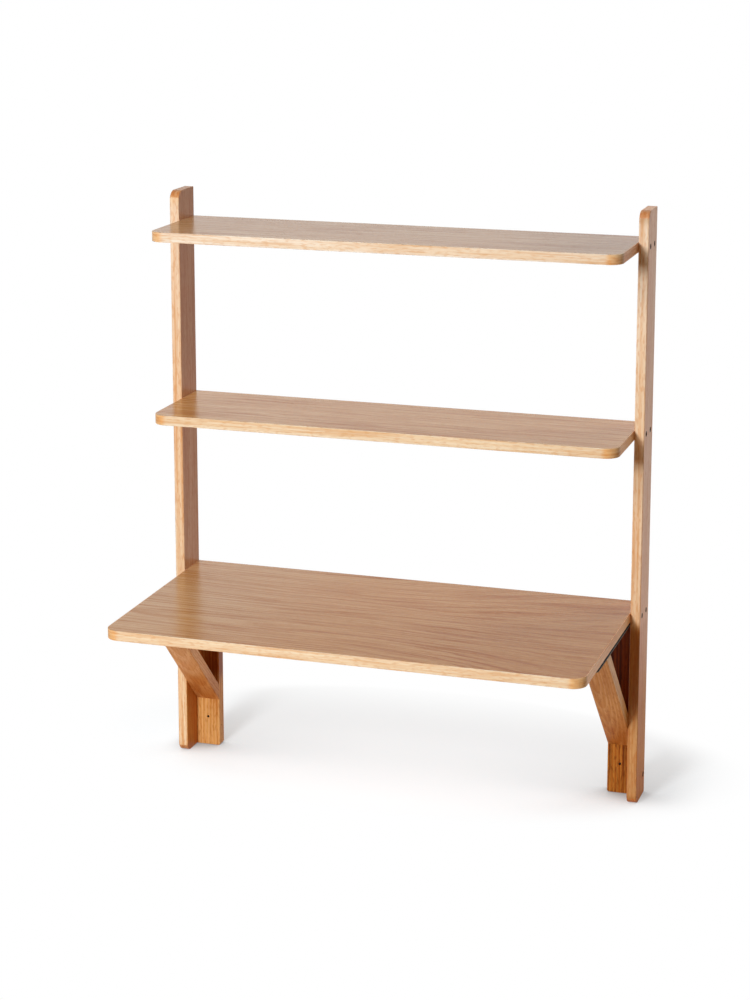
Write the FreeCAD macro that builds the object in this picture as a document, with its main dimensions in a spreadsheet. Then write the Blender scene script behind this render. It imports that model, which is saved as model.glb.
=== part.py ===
"""Wall desk with two shelves: two oak uprights, three boards between them, and a bracket under each
side of the desk top. X runs to the right, +Y to the wall, +Z up. The origin lies on the wall, midway
between the two wall-screw holes in the cleats. All sizes are in millimetres.
"""
import FreeCAD, Part
import os

import Sketcher

doc = FreeCAD.newDocument("WallDesk")

# ---------------------------------------------------------------- driving sizes
SIZES = [
    ("overall_width", 900),          # outside of one upright to outside of the other
    ("upright_height", 1095),
    ("upright_depth", 73),
    ("upright_thickness", 18),
    ("upright_corner", 18),          # rounding of the two corners that face the room
    ("board_thickness", 18),         # desk top and shelves, veneered on both faces
    ("shelf_depth", 220),
    ("desk_depth", 450),
    ("board_corner", 25),            # rounding of a board's front corners, in plan
    ("edging_thickness", 1.0),       # oak strip round the sides and front of each board
    ("edging_arris", 0.5),           # sharp edges are taken off this far
    ("desk_level", 366),             # foot of the uprights to the desk surface
    ("head_reach", 55),              # top shelf's surface to the top of the uprights
    ("cleat_width", 47),
    ("cleat_thickness", 22),
    ("cleat_corner", 4),             # rounding of the free bottom corner
    ("brace_thickness", 22),
    ("brace_foot_level", 94),        # foot of the uprights to the foot of the brace
    ("brace_angle", 45),             # degrees from level
    ("lath_arris", 1.0),             # softened edges of uprights, cleats and braces
    ("bar_thickness", 6),
    ("bar_width", 30),
    ("bar_length", 342),
    ("bar_corner", 8),
    ("bar_rear_hole", 95),           # wall to the rear screw that holds the bar to the desk top
    ("bar_front_hole", 20),          # front end of the bar to its front screw
    ("wall_hole_level", 57),         # foot of the uprights to the wall-screw holes
    ("wall_hole_radius", 2.5),
    ("cleat_screw_level", 38),       # foot of the uprights to the screw into the cleat
    ("pilot_radius", 1.5),
    ("board_screw_spacing", 36),
    ("board_screw_head", 5.0),       # radii, head heights and lengths of the four kinds of screw
    ("board_screw_shank", 2.5),
    ("board_screw_cone", 3.0),
    ("board_screw_length", 50),
    ("lath_screw_head", 4.0),
    ("lath_screw_shank", 2.0),
    ("lath_screw_cone", 2.4),
    ("lath_screw_length", 40),
    ("bar_screw_head", 3.6),
    ("bar_screw_shank", 1.8),
    ("bar_screw_cone", 2.2),
    ("bar_screw_length", 20),
    ("plate_screw_head", 2.5),
    ("plate_screw_shank", 1.3),
    ("plate_screw_cone", 1.4),
    ("plate_screw_length", 14),
    ("screw_clearance", 0.1),        # round every screw, in its hole
    ("end_screw_inset", 8),          # rear edge of a brace's end cut to its screw
    ("plate_thickness", 2.0),
    ("plate_width", 13),
    ("plate_length", 46),
    ("plate_corner", 2),             # the plate's corners are clipped
    ("plate_drop", 52),              # top of the upright to the keyhole's entry
    ("plate_screw_inset", 5),        # end of the plate to its screw
    ("keyhole_entry_radius", 4.2),
    ("keyhole_slot_radius", 2.2),
    ("keyhole_travel", 9),           # entry to the top of the slot
    ("keyhole_room_depth", 9),       # hollow behind the plate, for the wall screw's head
    ("keyhole_room_margin", 0.6),
]
sheet = doc.addObject("Spreadsheet::Sheet", "Sizes")
for row, (alias, size) in enumerate(SIZES, start=1):
    sheet.set(f"A{row}", alias)
    sheet.set(f"B{row}", str(size))
    sheet.setAlias(f"B{row}", alias)
doc.recompute()


def size(name):
    """The expression of one driving size."""
    return f"Sizes.{name}"


def number(expression):
    """The value of an expression on the driving sizes, as a plain number."""
    value = sheet.evalExpression(expression)
    return float(getattr(value, "Value", value))


# ---------------------------------------------------------------- derived places, as expressions
CLEAR_WIDTH = f"({size('overall_width')} - 2 * {size('upright_thickness')})"
INNER_FACE = f"({CLEAR_WIDTH} / 2)"
OUTER_FACE = f"({size('overall_width')} / 2)"
FOOT = f"(-{size('wall_hole_level')})"
HEAD = f"({FOOT} + {size('upright_height')})"
DESK_UNDERSIDE = f"({FOOT} + {size('desk_level')} - {size('board_thickness')})"
TOP_UNDERSIDE = f"({HEAD} - {size('head_reach')} - {size('board_thickness')})"
MIDDLE_UNDERSIDE = f"(({DESK_UNDERSIDE} + {TOP_UNDERSIDE}) / 2)"
BAR_UNDERSIDE = f"({DESK_UNDERSIDE} - {size('bar_thickness')})"
BAR_MIDDLE = f"({INNER_FACE} - {size('bar_width')} / 2)"
CLEAT_MIDDLE = f"({INNER_FACE} - {size('cleat_width')} / 2)"
BRACE_FOOT = f"({FOOT} + {size('brace_foot_level')})"
BRACE_RISE = f"({BAR_UNDERSIDE} - {BRACE_FOOT})"
BRACE_RUN = f"({BRACE_RISE} / tan({size('brace_angle')} * 1 deg))"
FOOT_CUT = f"({size('brace_thickness')} / cos({size('brace_angle')} * 1 deg))"
HEAD_CUT = f"({size('brace_thickness')} / sin({size('brace_angle')} * 1 deg))"
BRACE_FRONT = f"(-{size('cleat_thickness')} - {BRACE_RUN})"
BRACE_HEAD_SCREW = f"({BRACE_FRONT} + {HEAD_CUT} - {size('end_screw_inset')})"
BRACE_FOOT_SCREW = f"({BRACE_FOOT} + {FOOT_CUT} - {size('end_screw_inset')})"
KEYHOLE_ENTRY = f"({HEAD} - {size('plate_drop')})"
UPRIGHT_MIDDLE = f"({OUTER_FACE} - {size('upright_thickness')} / 2)"
SIDES = {"left": -1, "right": 1}


# ---------------------------------------------------------------- document helpers
def bind(thing, **expressions):
    """Tie properties of an object to expressions on the sheet."""
    for name, expression in expressions.items():
        thing.setExpression(name, expression)


def place(thing, x, y, z):
    """Tie the base point of an object's Placement to three expressions."""
    bind(thing, **{"Placement.Base.x": x, "Placement.Base.y": y, "Placement.Base.z": z})


def outline(body, role, corners):
    """A closed sketch through corners given as pairs of expressions, none of them negative.

    A coordinate written "0" lies on the axis, and any other gets a distance of its own from it.
    """
    sketch = body.newObject("Sketcher::SketchObject", body.Name + "_outline")
    plane = next(item for item in body.Origin.OriginFeatures if item.Role == role)
    sketch.AttachmentSupport = [(plane, "")]
    sketch.MapMode = "FlatFace"
    points = [FreeCAD.Vector(number(u), number(v), 0) for u, v in corners]
    count = len(points)
    for i in range(count):
        sketch.addGeometry(Part.LineSegment(points[i], points[(i + 1) % count]), False)
    for i in range(count):
        sketch.addConstraint(Sketcher.Constraint("Coincident", i, 2, (i + 1) % count, 1))
    for i, corner in enumerate(corners):
        for kind, axis, expression, value in zip(("DistanceX", "DistanceY"), (-2, -1), corner, points[i]):
            if expression == "0":
                sketch.addConstraint(Sketcher.Constraint("PointOnObject", i, 1, axis))
                continue
            index = sketch.addConstraint(Sketcher.Constraint(kind, -1, 1, i, 1, value))
            sketch.setExpression(f"Constraints[{index}]", expression)
    return sketch


def pad(body, sketch, length):
    """A sketch pushed out to a solid."""
    solid = body.newObject("PartDesign::Pad", body.Name + "_pad")
    solid.Profile = sketch
    bind(solid, Length=length)
    doc.recompute()
    return solid


def chosen_edges(body, wanted):
    """The body's tip, with the names of those of its edges whose bounding box the test accepts."""
    tip = body.Tip
    return tip, [f"Edge{i}" for i, edge in enumerate(tip.Shape.Edges, start=1) if wanted(edge.BoundBox)]


def round_off(body, radius, wanted):
    """Round the chosen edges of a body."""
    edges = chosen_edges(body, wanted)
    fillet = body.newObject("PartDesign::Fillet", body.Name + "_rounding")
    fillet.Base = edges
    bind(fillet, Radius=radius)
    doc.recompute()


def ease(body, width, wanted):
    """Take the chosen edges of a body off at 45 degrees."""
    edges = chosen_edges(body, wanted)
    chamfer = body.newObject("PartDesign::Chamfer", body.Name + "_arris")
    chamfer.Base = edges
    bind(chamfer, Size=width)
    doc.recompute()


def block(name, width, depth, height):
    """A body with a rectangular foot at its own origin, reaching to +X, +Y and +Z."""
    body = doc.addObject("PartDesign::Body", name)
    corners = [("0", "0"), (width, "0"), (width, depth), ("0", depth)]
    pad(body, outline(body, "XY_Plane", corners), height)
    return body


def near(value, target):
    """Whether a coordinate lies on a face of the piece."""
    return abs(value - target) < 0.01


def cut(label, base, tools):
    """The base less its tools, as the finished piece."""
    piece = doc.addObject("Part::Cut", label)
    piece.Label = label
    piece.Base = base
    if len(tools) == 1:
        piece.Tool = tools[0]
    else:
        piece.Tool = doc.addObject("Part::MultiFuse", label + "_tools")
        piece.Tool.Shapes = tools
    return piece


def still(label, shape):
    """A fixed shape, made with Part's own functions, as an object of the document."""
    piece = doc.addObject("Part::Feature", label)
    piece.Label = label
    piece.Shape = shape
    return piece


# ---------------------------------------------------------------- screws and their holes
def sided(kind, name, radius, low, high):
    """A many-sided prism round the Z axis, between two levels."""
    prism = doc.addObject("Part::Prism", f"{kind}_{name}")
    prism.Polygon = SCREW_SIDES
    bind(prism, Circumradius=radius, Height=f"{high} - {low}")
    place(prism, "0", "0", low)
    return prism


def flare(kind, name, low_radius, high_radius, low):
    """A many-sided cone round the Z axis, from a level up to z = 0."""
    rings = []
    for end, radius, level in (("narrow", low_radius, low), ("wide", high_radius, "0")):
        ring = doc.addObject("Part::RegularPolygon", f"{kind}_{name}_{end}")
        ring.Polygon = SCREW_SIDES
        bind(ring, Circumradius=radius)
        place(ring, "0", "0", level)
        rings.append(ring)
    cone = doc.addObject("Part::Loft", f"{kind}_{name}")
    cone.Sections = rings
    cone.Solid = True
    cone.Ruled = True
    return cone


def screw_form(kind, name, margin):
    """A countersunk screw's outside, larger all round by a margin: head on z = 0, shank below it."""
    shank = f"({size(kind + '_shank')} + {margin})"
    head = f"({size(kind + '_head')} + {margin})"
    neck = f"(-{size(kind + '_cone')})"
    shaft = sided(kind, name + "_shank", shank, f"(-{size(kind + '_length')} - {margin})", neck)
    cone = flare(kind, name + "_cone", shank, head, neck)
    return shaft, cone, head


def screw_blank(kind):
    """One screw with a hexagon socket."""
    shaft, cone, head = screw_form(kind, "screw", "0")
    whole = doc.addObject("Part::Fuse", kind + "_whole")
    whole.Base = shaft
    whole.Tool = cone
    socket = doc.addObject("Part::Prism", kind + "_socket")
    socket.Polygon = 6
    depth = f"(0.8 * {size(kind + '_cone')})"
    bind(socket, Circumradius=size(kind + "_shank"), Height=f"2 * {depth}")
    place(socket, "0", "0", f"-{depth}")
    blank = doc.addObject("Part::Cut", kind + "_blank")
    blank.Base = whole
    blank.Tool = socket
    return blank


def screw_drill(kind):
    """The hole for a screw, open above its head."""
    shaft, cone, head = screw_form(kind, "drill", size("screw_clearance"))
    mouth = sided(kind, "drill_mouth", head, "0", size(kind + "_cone"))
    drill = doc.addObject("Part::MultiFuse", kind + "_drill")
    drill.Shapes = [shaft, cone, mouth]
    return drill


def repeat(shape, spots):
    """Copies of a shape made along -Z, each moved to a point and turned to a direction."""
    down = FreeCAD.Vector(0, 0, -1)
    copies = []
    for point, direction in spots:
        copy = shape.copy()
        turn = FreeCAD.Rotation(down, FreeCAD.Vector(*direction))
        copy.Placement = FreeCAD.Placement(FreeCAD.Vector(*point), turn)
        copies.append(copy)
    return Part.makeCompound(copies)


def screws(label, kind, spots):
    """A set of like screws as one node of separate solids, and the drill that clears them."""
    group = still(label, repeat(blanks[kind].Shape, spots))
    drill = still(label + "_drill", repeat(bores[kind].Shape, spots))
    return group, drill


SCREW_KINDS = ("board_screw", "lath_screw", "bar_screw", "plate_screw")
SCREW_SIDES = 16                     # screws and their holes are many-sided, since there are so many
blanks = {kind: screw_blank(kind) for kind in SCREW_KINDS}
bores = {kind: screw_drill(kind) for kind in SCREW_KINDS}
doc.recompute()


def level_spots(levels, depths):
    """Screws pushed level through both uprights, from their outer faces inwards."""
    face = number(OUTER_FACE)
    return [((side * face, -depth, level), (-side, 0, 0))
            for side in SIDES.values() for level in levels for depth in depths]


def bar_spots(distances, level, direction):
    """Upright screws on the middle line of both bars, at given distances from the wall."""
    middle = number(BAR_MIDDLE)
    return [((side * middle, -distance, level), (0, 0, direction))
            for side in SIDES.values() for distance in distances]


half_board = number(size("board_thickness")) / 2
half_spacing = number(size("board_screw_spacing")) / 2
upright_axis = number(size("upright_depth")) / 2
screw_depths = (upright_axis - half_spacing, upright_axis + half_spacing)
cleat_axis = number(size("cleat_thickness")) / 2
foot = number(FOOT)

board_levels = {
    "top_shelf": TOP_UNDERSIDE,
    "middle_shelf": MIDDLE_UNDERSIDE,
    "desk_top": DESK_UNDERSIDE,
}
fasteners = {}
drills = {}


def fasten(label, kind, spots):
    """Make a set of screws and keep it and its drill by name."""
    fasteners[label], drills[label] = screws(label, kind, spots)


for board, underside in board_levels.items():
    fasten(board + "_screws", "board_screw", level_spots([number(underside) + half_board], screw_depths))
fasten("cleat_screws", "board_screw",
       level_spots([foot + number(size("cleat_screw_level"))], [cleat_axis]))
fasten("brace_foot_screws", "lath_screw",
       [((side * number(CLEAT_MIDDLE), 0, number(BRACE_FOOT_SCREW)), (0, -1, 0))
        for side in SIDES.values()])
fasten("bar_rear_screws", "lath_screw", bar_spots([cleat_axis], number(DESK_UNDERSIDE), -1))
fasten("brace_head_screws", "bar_screw",
       bar_spots([-number(BRACE_HEAD_SCREW)], number(DESK_UNDERSIDE), -1))

bar_front_screw = number(size("bar_length")) - number(size("bar_front_hole"))
fasten("bar_desk_screws", "bar_screw",
       bar_spots([number(size("bar_rear_hole")), bar_front_screw], number(BAR_UNDERSIDE), 1))

plate_screw_offset = number(size("plate_length")) / 2 - number(size("plate_screw_inset"))
fasten("hanger_plate_screws", "plate_screw",
       [((side * number(UPRIGHT_MIDDLE), 0, number(KEYHOLE_ENTRY) + number(size("keyhole_travel")) / 2
          + end * plate_screw_offset), (0, -1, 0))
        for side in SIDES.values() for end in (-1, 1)])


# ---------------------------------------------------------------- keyhole hanger plates
def keyhole_tool(name, side, radius_margin, depth):
    """A keyhole seen from the wall: a round entry and a narrower slot above it."""
    centre = f"({side} * {UPRIGHT_MIDDLE})"
    entry = f"({size('keyhole_entry_radius')} + {radius_margin})"
    slot = f"({size('keyhole_slot_radius')} + {radius_margin})"
    middles = {
        "entry": (entry, KEYHOLE_ENTRY),
        "top": (slot, f"({KEYHOLE_ENTRY} + {size('keyhole_travel')})"),
    }
    parts = []
    for end, (radius, level) in middles.items():
        disc = doc.addObject("Part::Cylinder", f"{name}_{end}")
        disc.Placement.Rotation = FreeCAD.Rotation(FreeCAD.Vector(1, 0, 0), 90)
        bind(disc, Radius=radius, Height=depth)
        place(disc, centre, "0", level)
        parts.append(disc)
    web = doc.addObject("Part::Box", f"{name}_slot")
    bind(web, Length=f"2 * {slot}", Width=depth, Height=size("keyhole_travel"))
    place(web, f"{centre} - {slot}", f"-{depth}", KEYHOLE_ENTRY)
    parts.append(web)
    tool = doc.addObject("Part::MultiFuse", name)
    tool.Shapes = parts
    return tool


def hanger_plate(hand, side):
    """A thin steel plate, flush with the upright's back, and the hollow that it needs."""
    width, length, thickness = (size("plate_" + word) for word in ("width", "length", "thickness"))
    body = block(f"{hand}_plate_blank", width, thickness, length)
    wide, tall = number(width), number(length)
    ease(body, size("plate_corner"), lambda box: near(box.YLength, number(thickness))
         and (near(box.XMin, 0) or near(box.XMax, wide)) and (near(box.ZMin, 0) or near(box.ZMax, tall)))
    place(body, f"{side} * {UPRIGHT_MIDDLE} - {width} / 2", f"-{thickness}",
          f"{KEYHOLE_ENTRY} + {size('keyhole_travel')} / 2 - {length} / 2")
    hole = keyhole_tool(f"{hand}_keyhole", side, "0", thickness)
    room = keyhole_tool(f"{hand}_keyhole_room", side,
                        f"{size('keyhole_entry_radius')} - {size('keyhole_slot_radius')} + "
                        f"{size('keyhole_room_margin')}", size("keyhole_room_depth"))
    plate = cut(f"{hand}_hanger_plate", body, [hole, drills["hanger_plate_screws"]])
    return plate, [body, room]


# ---------------------------------------------------------------- uprights
def upright(hand, side, recess):
    """One upright: a board on edge, its two room-side corners rounded and its arrises softened."""
    thick, deep, tall = (size("upright_" + word) for word in ("thickness", "depth", "height"))
    body = block(f"{hand}_upright_blank", thick, deep, tall)
    wide, back = number(thick), number(deep)
    round_off(body, size("upright_corner"), lambda box: near(box.XLength, wide) and near(box.YMax, 0))
    ease(body, size("lath_arris"), lambda box: near(box.XLength, 0) and not near(box.YMin, back))
    place(body, f"{side} * {UPRIGHT_MIDDLE} - {thick} / 2", f"-{deep}", FOOT)
    holes = [drills[board + "_screws"] for board in board_levels]
    holes += [drills["cleat_screws"], drills["hanger_plate_screws"]]
    return cut(f"{hand}_upright", body, holes + recess)


# ---------------------------------------------------------------- boards and their edging
def board_blank(name, width, depth, corner, underside, arris):
    """A board with two rounded front corners, its rear edge on the wall."""
    body = block(name, width, depth, size("board_thickness"))
    wide = number(width)
    round_off(body, corner, lambda box: near(box.ZLength, number(size("board_thickness")))
              and near(box.YMax, 0) and (near(box.XMax, 0) or near(box.XMin, wide)))
    if arris:
        rear = number(depth)
        ease(body, arris, lambda box: near(box.ZLength, 0) and not near(box.YMin, rear))
    place(body, f"-{width} / 2", f"-{depth}", underside)
    return body


def board(label, depth, extra_drills):
    """A veneered board and the oak strip that runs round its sides and front."""
    skin = size("edging_thickness")
    underside = board_levels[label]
    core = board_blank(label + "_core", f"({CLEAR_WIDTH} - 2 * {skin})", f"({depth} - {skin})",
                       f"{size('board_corner')} - {skin}", underside, None)
    whole = board_blank(label + "_outside", CLEAR_WIDTH, depth, size("board_corner"), underside,
                        size("edging_arris"))
    holes = [drills[label + "_screws"]]
    return [
        cut(label, core, holes + extra_drills),
        cut(label + "_edging", whole, [core] + holes),
    ]


# ---------------------------------------------------------------- brackets
def cleat(hand, side):
    """The upright lath of a bracket, flat on the wall and on the upright's inner face."""
    wide, thick = size("cleat_width"), size("cleat_thickness")
    tall = f"({BAR_UNDERSIDE} - {FOOT})"
    body = block(f"{hand}_cleat_blank", wide, thick, tall)
    free_side = 0 if side > 0 else number(wide)
    back = number(thick)
    round_off(body, size("cleat_corner"), lambda box: near(box.YLength, back)
              and near(box.ZMax, 0) and near(box.XMin, free_side))
    ease(body, size("lath_arris"), lambda box: near(box.YLength, 0) and near(box.YMin, 0))
    place(body, f"{side} * {CLEAT_MIDDLE} - {wide} / 2", f"-{thick}", FOOT)

    wall_hole = doc.addObject("Part::Cylinder", f"{hand}_wall_hole")
    wall_hole.Placement.Rotation = FreeCAD.Rotation(FreeCAD.Vector(1, 0, 0), 90)
    bind(wall_hole, Radius=size("wall_hole_radius"), Height=thick)
    place(wall_hole, f"{side} * {CLEAT_MIDDLE}", "0", "0")

    pilot = doc.addObject("Part::Cylinder", f"{hand}_pilot_hole")
    pilot.Placement.Rotation = FreeCAD.Rotation(FreeCAD.Vector(0, 1, 0), 90)
    bind(pilot, Radius=size("pilot_radius"), Height=wide)
    place(pilot, f"{side} * {CLEAT_MIDDLE} - {wide} / 2", f"-{thick} / 2",
          f"{FOOT} + {size('cleat_screw_level')}")

    holes = [drills[name] for name in ("cleat_screws", "brace_foot_screws", "bar_rear_screws")]
    return cut(f"{hand}_cleat", body, holes + [wall_hole, pilot])


def brace(hand, side):
    """The slanting lath: cut upright where it meets the cleat and level where it meets the bar."""
    body = doc.addObject("PartDesign::Body", f"{hand}_brace_blank")
    corners = [
        (BRACE_RUN, "0"),
        (BRACE_RUN, FOOT_CUT),
        (HEAD_CUT, BRACE_RISE),
        ("0", BRACE_RISE),
    ]
    wide = size("cleat_width")
    pad(body, outline(body, "YZ_Plane", corners), wide)
    ease(body, size("lath_arris"), lambda box: near(box.XLength, 0)
         and box.YLength > number(HEAD_CUT) and box.ZLength > number(FOOT_CUT))
    place(body, f"{side} * {CLEAT_MIDDLE} - {wide} / 2", BRACE_FRONT, BRACE_FOOT)
    return cut(f"{hand}_brace", body, [drills["brace_foot_screws"], drills["brace_head_screws"]])


def support_bar(hand, side):
    """Flat steel under the desk top's side edge, over the heads of brace and cleat."""
    wide, length = size("bar_width"), size("bar_length")
    body = block(f"{hand}_bar_blank", wide, length, size("bar_thickness"))
    across = number(wide)
    round_off(body, size("bar_corner"), lambda box: near(box.ZLength, number(size("bar_thickness")))
              and near(box.YMax, 0) and (near(box.XMax, 0) or near(box.XMin, across)))
    place(body, f"{side} * {BAR_MIDDLE} - {wide} / 2", f"-{length}", BAR_UNDERSIDE)
    holes = [drills[name] for name in ("bar_rear_screws", "brace_head_screws", "bar_desk_screws")]
    return cut(f"{hand}_support_bar", body, holes)


# ---------------------------------------------------------------- the whole desk
pieces = list(fasteners.values())
for hand, side in SIDES.items():
    plate, recess = hanger_plate(hand, side)
    pieces += [plate, upright(hand, side, recess)]
    pieces += [cleat(hand, side), brace(hand, side), support_bar(hand, side)]
pieces += board("top_shelf", size("shelf_depth"), [])
pieces += board("middle_shelf", size("shelf_depth"), [])
pieces += board("desk_top", size("desk_depth"), [drills["bar_desk_screws"]])
doc.recompute()

for thing in doc.Objects:
    if "Invalid" in thing.State or "Error" in thing.State:
        raise RuntimeError(f"{thing.Name} failed: {thing.State}")
os.makedirs("parts", exist_ok=True)
for piece in pieces:
    shape = piece.Shape
    if shape.isNull() or not shape.isValid() or not shape.Solids:
        raise RuntimeError(f"{piece.Label} has no valid solid")
    shape.exportStep(f"parts/{piece.Label}.step")
    print(f"{piece.Label}: {len(shape.Solids)} solid(s), {shape.Volume / 1000:.1f} cm3")
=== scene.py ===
# %% [markdown]
# # Wall desk with two shelves
# The real piece is oak throughout: two solid uprights, three veneered boards with an oak strip round
# their edges, and two brackets of solid lath under the desk top. The only metal that shows is black: the
# flat bars under the desk top and the screws. The packed model already has the right shapes, so this
# lesson gives each piece its finish. It makes anew only what a finish needs a better surface for: the
# edging, whose grain turns round the corners, and the screws, which are turned, threaded and socketed.

# %% The packed model
import math

import bmesh
import bpy
import numpy as np
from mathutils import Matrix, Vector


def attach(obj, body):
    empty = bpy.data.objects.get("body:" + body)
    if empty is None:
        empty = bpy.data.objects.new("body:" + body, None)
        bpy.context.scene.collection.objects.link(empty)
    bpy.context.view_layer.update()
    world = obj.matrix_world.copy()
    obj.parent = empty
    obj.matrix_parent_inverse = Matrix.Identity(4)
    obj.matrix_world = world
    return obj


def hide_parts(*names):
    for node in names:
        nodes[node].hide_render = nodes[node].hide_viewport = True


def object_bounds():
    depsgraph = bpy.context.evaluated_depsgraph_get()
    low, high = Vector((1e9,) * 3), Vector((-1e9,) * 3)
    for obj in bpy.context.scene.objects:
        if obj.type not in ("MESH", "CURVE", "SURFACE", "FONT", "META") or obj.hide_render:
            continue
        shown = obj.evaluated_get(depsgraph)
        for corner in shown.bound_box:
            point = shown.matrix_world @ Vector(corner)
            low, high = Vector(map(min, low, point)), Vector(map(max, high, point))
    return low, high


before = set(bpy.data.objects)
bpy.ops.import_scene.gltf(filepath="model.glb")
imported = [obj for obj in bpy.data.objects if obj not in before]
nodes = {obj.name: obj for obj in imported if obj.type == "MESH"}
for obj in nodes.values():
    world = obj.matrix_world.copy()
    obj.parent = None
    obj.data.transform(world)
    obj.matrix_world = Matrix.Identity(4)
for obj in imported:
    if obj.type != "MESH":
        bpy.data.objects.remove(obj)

cad_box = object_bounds()
print("packed model:", len(nodes), "nodes, box", [round(v, 4) for corner in cad_box for v in corner])


# %% [markdown]
# ## Camera
# The desk is seen from the front, from its right and from above. A camera that looks down makes upright
# lines lean together. A view camera keeps them parallel by sliding its lens, and Blender's camera has the
# same shift. Quite parallel lines would take so much of it that the desk would leave the frame of every
# other view, because they all use this camera. So it looks down a little and shifts a little.

# %% Camera
IMAGE_LONG_SIDE = 1000                # pixels
FOCAL_LENGTH = 2341                   # pixels
SENSOR = 36                           # millimetres, along the image's long side
LENS_SHIFT = -0.16                    # as a part of the image's long side
SIGHT = 60                            # metres, past which nothing is drawn
CAMERA_PLACE = (1.2232, -4.0573, 1.6118)
CAMERA_TURN = 0.3094                  # radians, to the left
CAMERA_DIP = math.radians(11.24)


def aim(thing, place, turn_left, look_down):
    """Put a camera or lamp at a place, facing +Y, then turned left and down by angles in radians."""
    thing.location = place
    thing.rotation_mode = "XYZ"
    thing.rotation_euler = (math.pi / 2 - look_down, 0, turn_left)


lens = bpy.data.cameras.new("camera")
lens.sensor_width = SENSOR
lens.lens = FOCAL_LENGTH / IMAGE_LONG_SIDE * SENSOR
lens.shift_y = LENS_SHIFT
lens.clip_end = SIGHT
camera = bpy.data.objects.new("camera", lens)
bpy.context.scene.collection.objects.link(camera)
aim(camera, CAMERA_PLACE, CAMERA_TURN, CAMERA_DIP)
bpy.context.scene.camera = camera
print(f"camera: {lens.lens:.1f} mm lens")


# %% [markdown]
# ## Shader maths
# A finish here is a sum of many patterns, and linked by hand it would be a maze of nodes. So it is
# written as arithmetic. `Wire` wraps the output of a node, and adding or multiplying wires adds the Math
# node that does it. Every other node comes from `Wiring.node`, which sets the node's own settings first
# and its inputs after.

# %% Wires
class Wire:
    """An output of a node, with the arithmetic that the finishes need."""

    def __init__(self, wiring, socket):
        self.wiring = wiring
        self.socket = socket

    def __add__(self, other):
        return self.wiring.calculate("ADD", self, other)

    def __sub__(self, other):
        return self.wiring.calculate("SUBTRACT", self, other)

    def __rsub__(self, other):
        return self.wiring.calculate("SUBTRACT", other, self)

    def __mul__(self, other):
        return self.wiring.calculate("MULTIPLY", self, other)

    __radd__ = __add__
    __rmul__ = __mul__

    def root(self):
        """The square root."""
        return self.wiring.calculate("SQRT", self)

    def fraction(self):
        """What is left above the whole number below."""
        return self.wiring.calculate("FRACT", self)

    def larger(self, other):
        """The larger of two."""
        return self.wiring.calculate("MAXIMUM", self, other)

    def smooth(self, first, second):
        """0 up to a first level, 1 from a second one, and an S curve between; either may be the higher."""
        return self.wiring.node("ShaderNodeMapRange", {"interpolation_type": "SMOOTHSTEP"},
                                {"Value": self, "From Min": first, "From Max": second})


print("a wire can also give its", ", ".join(name for name in vars(Wire) if not name.startswith("_")))


# %% Nodes
class Wiring:
    """The nodes of a material or of the world, and the wires between them."""

    def __init__(self, owner):
        owner.use_nodes = True
        self.tree = owner.node_tree
        self.tree.nodes.clear()

    def node(self, kind, settings=None, inputs=None, output=0):
        """A node of a kind: its settings, then the values or wires of its sockets. Gives one output."""
        made = self.tree.nodes.new(kind)
        for name, value in (settings or {}).items():
            setattr(made, name, value)
        for name, value in (inputs or {}).items():
            if isinstance(value, Wire):
                self.tree.links.new(value.socket, made.inputs[name])
            else:
                made.inputs[name].default_value = value
        return Wire(self, made.outputs[output]) if made.outputs else None

    def calculate(self, operation, *values):
        """A Math node on one or two numbers or wires."""
        return self.node("ShaderNodeMath", {"operation": operation}, dict(enumerate(values)))

    def axis(self, place, name):
        """One of the three numbers of a place."""
        return self.node("ShaderNodeSeparateXYZ", inputs={0: place}, output=name)

    def either(self, amount, first, second):
        """Two shaders mixed by an amount."""
        return self.node("ShaderNodeMixShader", inputs={0: amount, 1: first, 2: second})


print("wiring can make", ", ".join(name for name in vars(Wiring) if not name.startswith("_")))


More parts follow.
